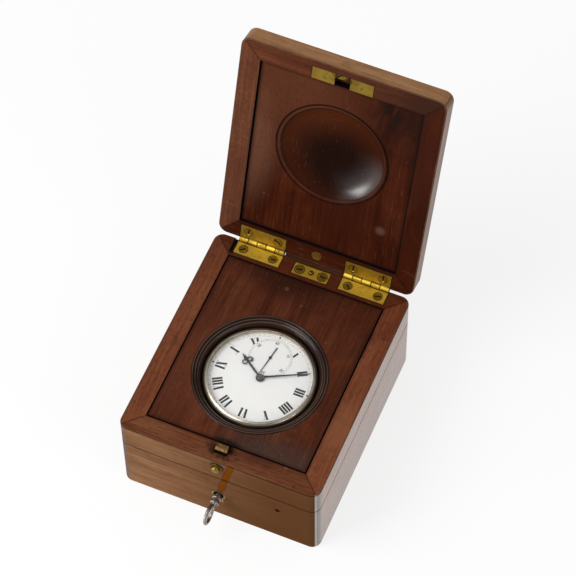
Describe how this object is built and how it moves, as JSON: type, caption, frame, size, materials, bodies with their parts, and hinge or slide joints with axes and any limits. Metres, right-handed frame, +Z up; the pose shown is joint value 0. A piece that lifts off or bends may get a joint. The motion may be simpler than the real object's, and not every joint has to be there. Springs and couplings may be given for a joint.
{
  "type": "chronometer box",
  "caption": "Three-tier mahogany deck watch box with hinged lid, push-button catch, turned watch aperture, watch, lock and key.",
  "frame": {"origin": "centre of the underside of the bottom tier, on the surface the box stands on", "axes": "+Z up, -Y out of the front with the lock and button, +Y to the hinges, +X to the right"},
  "size_m": [0.11, 0.1944, 0.1771],
  "materials": {
    "mahogany": "french polished mahogany",
    "mahogany_panel": "french polished mahogany panel",
    "mahogany_inside": "plain mahogany, unpolished",
    "ebonised_wood": "turned and stained near black, polished",
    "brass": "lacquered brass",
    "dull_brass": "darkened brass",
    "brass_screw": "slotted brass screw heads",
    "spring_steel": "tempered steel",
    "key_steel": "worn steel",
    "green_cloth": "short pile cloth",
    "silver": "tarnished silver",
    "crystal_glass": "clear domed glass",
    "white_enamel": "white fired enamel on copper",
    "blued_steel": "blued steel",
    "gilt_brass": "gilt brass"
  },
  "bodies": {
    "base": {"base_board": "mahogany_inside", "base_front_wall": "mahogany", "base_back_wall": "mahogany", "base_left_wall": "mahogany", "base_right_wall": "mahogany", "keyhole_escutcheon": "brass", "lock_case": "brass", "seam_hinge_base_leaves": "brass", "base_screws": "brass_screw", "watch_nest": "mahogany_inside", "nest_lining": "green_cloth", "watch_case": "silver", "watch_bezel": "silver", "watch_crystal": "crystal_glass", "watch_dial": "white_enamel", "watch_pendant": "silver", "movement_back_plate": "gilt_brass", "movement_pillar_plate": "gilt_brass"},
    "middle_tier": {"tray_front_rail": "mahogany", "tray_back_rail": "mahogany", "tray_left_rail": "mahogany", "tray_right_rail": "mahogany", "tray_panel": "mahogany_panel", "aperture_ring": "ebonised_wood", "lock_keep": "brass", "lid_hinge_left_lower_leaf": "brass", "lid_hinge_right_lower_leaf": "brass", "seam_hinge_tray_leaves": "brass", "hinge_pins": "brass", "tray_screws": "brass_screw", "lifter_plate": "brass", "lifter_spring": "spring_steel", "button_bush": "brass", "catch_pivot_pin": "spring_steel", "back_bead": "mahogany"},
    "lid": {"lid_front_rail": "mahogany", "lid_back_rail": "mahogany", "lid_left_rail": "mahogany", "lid_right_rail": "mahogany", "lid_panel": "mahogany_panel", "strike_plate": "brass", "bearing_disc": "brass", "lid_hinge_left_upper_leaf": "brass", "lid_hinge_right_upper_leaf": "brass", "lid_screws": "brass_screw"},
    "catch": {"lid_catch": "dull_brass", "catch_spring": "spring_steel"},
    "button": {"push_button": "brass"},
    "plunger": {"lifter_plunger": "brass"},
    "turned_key": {"key": "key_steel"},
    "bolt": {"lock_bolt": "brass"},
    "bow": {"watch_bow": "silver"},
    "minute_arbor": {"minute_hand": "blued_steel", "centre_wheel": "gilt_brass"},
    "hour_pipe": {"hour_hand": "blued_steel"},
    "seconds_arbor": {"seconds_hand": "blued_steel", "fourth_wheel": "gilt_brass"},
    "third_arbor": {"third_wheel": "gilt_brass"},
    "barrel_arbor": {"mainspring_barrel": "gilt_brass"},
    "balance_staff": {"balance_wheel": "gilt_brass"}
  },
  "joints": [
    {"name": "lid_hinge", "type": "hinge", "parent": "middle_tier", "child": "lid", "pos_m": [0, 0.0641, 0.05566], "axis": [1, 0, 0], "range_deg": [0, 107.86]},
    {"name": "tier_hinge", "type": "hinge", "parent": "base", "child": "middle_tier", "pos_m": [0, 0.0641, 0.03857], "axis": [-1, 0, 0], "range_deg": [0, 84]},
    {"name": "button_press", "type": "slide", "parent": "middle_tier", "child": "button", "axis": [0, 1, 0], "range_m": [0, 0.0008], "stiffness_N_per_m": 1500, "springref_m": -0.001},
    {"name": "catch_turn", "type": "hinge", "parent": "middle_tier", "child": "catch", "pos_m": [0, -0.05565, 0.0452], "axis": [-1, 0, 0], "range_deg": [0, 8.6]},
    {"name": "lifter_slide", "type": "slide", "parent": "middle_tier", "child": "plunger", "axis": [0, 0, -1], "range_m": [0, 0.00151], "deforming": ["lifter_spring"]},
    {"name": "bolt_slide", "type": "slide", "parent": "base", "child": "bolt", "axis": [0, 0, 1], "range_m": [0, 0.0034]},
    {"name": "key_turn", "type": "hinge", "parent": "base", "child": "turned_key", "pos_m": [0, -0.0635, 0.0203], "axis": [0, 1, 0], "range_deg": [0, 360]},
    {"name": "bow_swing", "type": "hinge", "parent": "base", "child": "bow", "pos_m": [0, 0.0249, 0.0393], "axis": [1, 0, 0], "range_deg": [0, 30]},
    {"name": "seconds_turn", "type": "hinge", "parent": "base", "child": "seconds_arbor", "pos_m": [0, 0.0052, 0.051], "axis": [0, 0, -1], "continuous": true},
    {"name": "minute_turn", "type": "hinge", "parent": "base", "child": "minute_arbor", "pos_m": [0, -0.0081, 0.0521], "axis": [0, 0, -1], "continuous": true},
    {"name": "hour_turn", "type": "hinge", "parent": "base", "child": "hour_pipe", "pos_m": [0, -0.0081, 0.0515], "axis": [0, 0, -1], "continuous": true},
    {"name": "third_turn", "type": "hinge", "parent": "base", "child": "third_arbor", "pos_m": [0.00803, 0.00041, 0.0399], "axis": [0, 0, -1], "continuous": true},
    {"name": "barrel_turn", "type": "hinge", "parent": "base", "child": "barrel_arbor", "pos_m": [-0.00911, -0.01721, 0.0411], "axis": [0, 0, -1], "continuous": true},
    {"name": "balance_swing", "type": "hinge", "parent": "base", "child": "balance_staff", "pos_m": [0.01061, -0.01871, 0.0388], "axis": [0, 0, -1], "range_deg": [-135, 135]}
  ],
  "couplings": [
    {"joint": "catch_turn", "follows": "button_press", "rad_per_m": 185.19},
    {"joint": "lifter_slide", "follows": "lid_hinge", "m_per_rad": 0.00079681},
    {"joint": "key_turn", "follows": "bolt_slide", "rad_per_m": 1847.5},
    {"joint": "minute_turn", "follows": "seconds_turn", "ratio": 0.016667},
    {"joint": "hour_turn", "follows": "seconds_turn", "ratio": 0.0013889},
    {"joint": "third_turn", "follows": "seconds_turn", "ratio": -0.13333},
    {"joint": "barrel_turn", "follows": "seconds_turn", "ratio": -0.0025}
  ]
}
